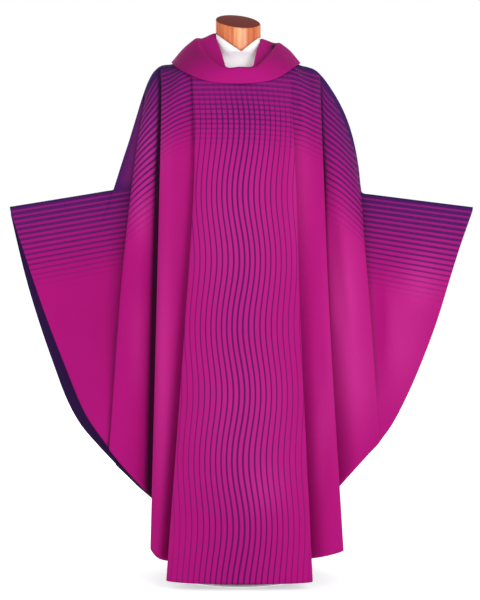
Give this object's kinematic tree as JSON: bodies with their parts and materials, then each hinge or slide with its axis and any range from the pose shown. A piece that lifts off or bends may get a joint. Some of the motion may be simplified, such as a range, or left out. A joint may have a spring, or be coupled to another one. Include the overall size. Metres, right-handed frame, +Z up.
{
  "type": "gothic chasuble on a dress form",
  "caption": "Full gothic chasuble with folded collar, wide sleeves and graded woven stripes, worn by a limbless dress form on a round-based stand.",
  "frame": {"origin": "middle of the underside of the stand's round base, on the floor", "axes": "+Z up, the front of the garment faces -Y, +X is to the right for someone who faces the front"},
  "size_m": [1.1751, 0.3806, 1.4306],
  "materials": {
    "chasuble_cloth": "plain-woven magenta wool blend with dark violet woven stripes, matt with a slight sheen",
    "form_cover": "smooth white jersey cover",
    "neck_wood": "orange-brown varnished wood",
    "stand_metal": "off-white satin paint"
  },
  "bodies": {
    "root": {"front": "chasuble_cloth", "back": "chasuble_cloth", "collar": "chasuble_cloth", "form_torso": "form_cover", "form_neck": "neck_wood", "form_pole": "stand_metal", "form_base": "stand_metal", "sleeve_bar_left": "stand_metal", "sleeve_bar_right": "stand_metal"}
  },
  "joints": []
}
